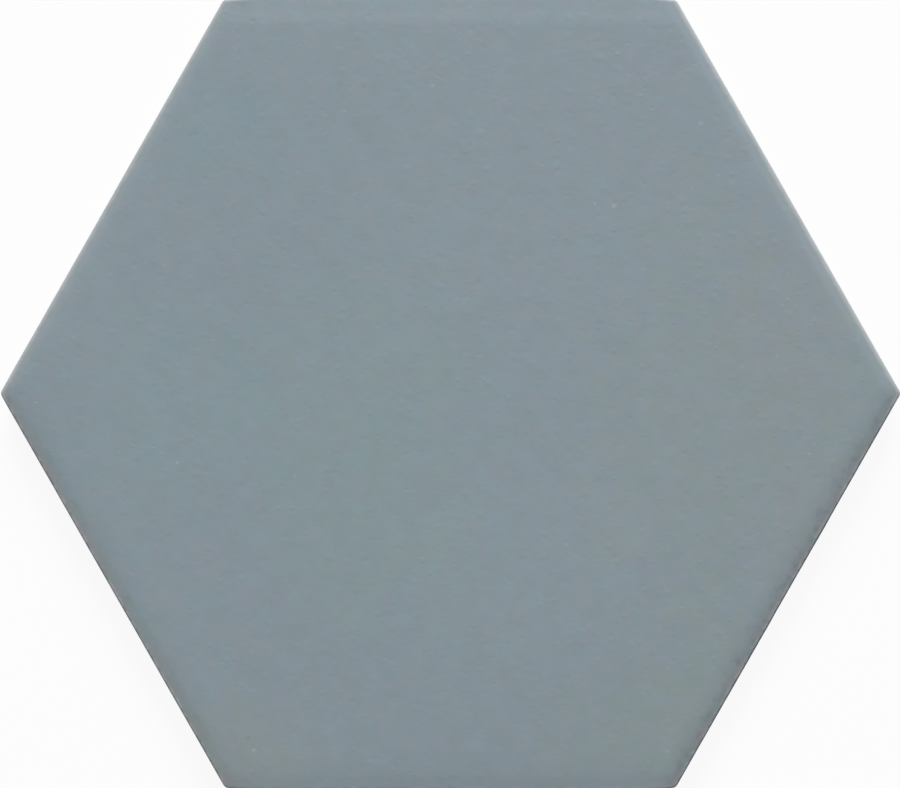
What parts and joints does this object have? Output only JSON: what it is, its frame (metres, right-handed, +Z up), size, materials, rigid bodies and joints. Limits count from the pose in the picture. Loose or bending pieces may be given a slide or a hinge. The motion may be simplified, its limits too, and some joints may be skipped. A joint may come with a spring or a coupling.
{
  "type": "hexagon floor tile",
  "caption": "Flat hexagon ceramic floor tile with a matt glazed face, a soft cushion edge and a shallow honeycomb key in its back.",
  "frame": {"origin": "middle of the back, on the face that is bonded to the floor", "axes": "+Z up out of the glazed face, +X towards one of the points, +Y towards one of the flat sides"},
  "size_m": [0.1996, 0.175, 0.0085],
  "materials": {
    "glazed_clay": "matt blue-grey glaze on the face and over the arris, bare fired clay on the lower walls and the back"
  },
  "bodies": {
    "root": {"hexagon_tile": "glazed_clay"}
  },
  "joints": []
}
